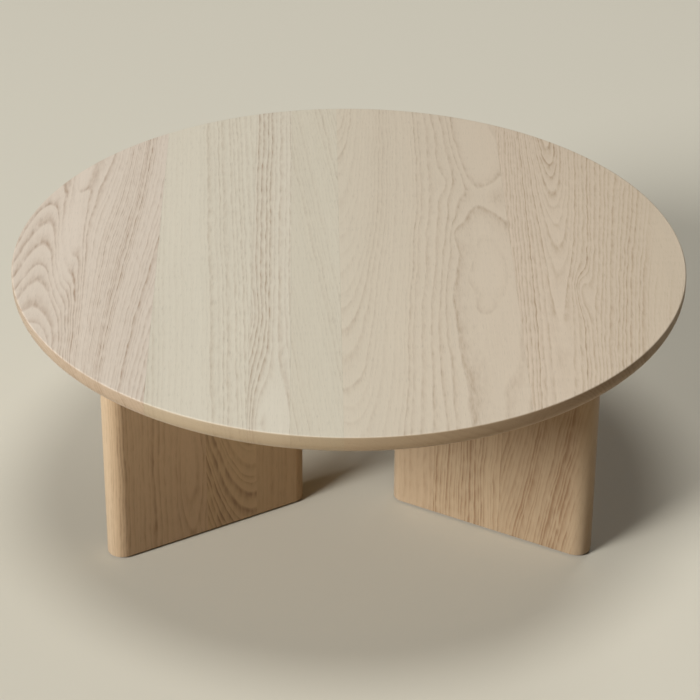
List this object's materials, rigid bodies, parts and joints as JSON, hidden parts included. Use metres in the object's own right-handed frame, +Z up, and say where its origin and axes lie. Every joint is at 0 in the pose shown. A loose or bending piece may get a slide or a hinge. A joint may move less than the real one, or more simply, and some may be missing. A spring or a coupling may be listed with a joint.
{
  "type": "coffee table",
  "caption": "Low round coffee table in pale solid ash: a thick edge-glued top, undercut at its rim, on upright slab legs that stand radially and have half-round ends.",
  "frame": {"origin": "on the floor, under the middle of the round top", "axes": "+Z up; the front, where two slabs open towards the viewer, faces -Y; +X to the right"},
  "size_m": [1, 1, 0.396],
  "materials": {
    "ash_top": "pale ash, matt hard-wax oil",
    "ash_leg": "pale ash, matt hard-wax oil, slightly warmer than the top",
    "plate_steel": "dark grey powder coat",
    "bolt_black_oxide": "black oxide",
    "zinc_plate": "bright zinc plating",
    "glide_nylon": "matt brown nylon"
  },
  "bodies": {
    "root": {"top_board_1": "ash_top", "top_board_2": "ash_top", "top_board_3": "ash_top", "top_board_4": "ash_top", "top_board_5": "ash_top", "top_board_6": "ash_top", "left_leg_board_1": "ash_leg", "left_leg_board_2": "ash_leg", "left_leg_board_3": "ash_leg", "left_plate": "plate_steel", "left_bolt_1": "bolt_black_oxide", "left_bolt_2": "bolt_black_oxide", "left_bolt_3": "bolt_black_oxide", "left_bolt_4": "bolt_black_oxide", "left_insert_1": "zinc_plate", "left_insert_2": "zinc_plate", "left_insert_3": "zinc_plate", "left_insert_4": "zinc_plate", "left_screw_1": "zinc_plate", "left_screw_2": "zinc_plate", "left_glide_1": "glide_nylon", "left_glide_2": "glide_nylon", "right_leg_board_1": "ash_leg", "right_leg_board_2": "ash_leg", "right_leg_board_3": "ash_leg", "right_plate": "plate_steel", "right_bolt_1": "bolt_black_oxide", "right_bolt_2": "bolt_black_oxide", "right_bolt_3": "bolt_black_oxide", "right_bolt_4": "bolt_black_oxide", "right_insert_1": "zinc_plate", "right_insert_2": "zinc_plate", "right_insert_3": "zinc_plate", "right_insert_4": "zinc_plate", "right_screw_1": "zinc_plate", "right_screw_2": "zinc_plate", "right_glide_1": "glide_nylon", "right_glide_2": "glide_nylon", "rear_leg_board_1": "ash_leg", "rear_leg_board_2": "ash_leg", "rear_leg_board_3": "ash_leg", "rear_plate": "plate_steel", "rear_bolt_1": "bolt_black_oxide", "rear_bolt_2": "bolt_black_oxide", "rear_bolt_3": "bolt_black_oxide", "rear_bolt_4": "bolt_black_oxide", "rear_insert_1": "zinc_plate", "rear_insert_2": "zinc_plate", "rear_insert_3": "zinc_plate", "rear_insert_4": "zinc_plate", "rear_screw_1": "zinc_plate", "rear_screw_2": "zinc_plate", "rear_glide_1": "glide_nylon", "rear_glide_2": "glide_nylon"}
  },
  "joints": []
}
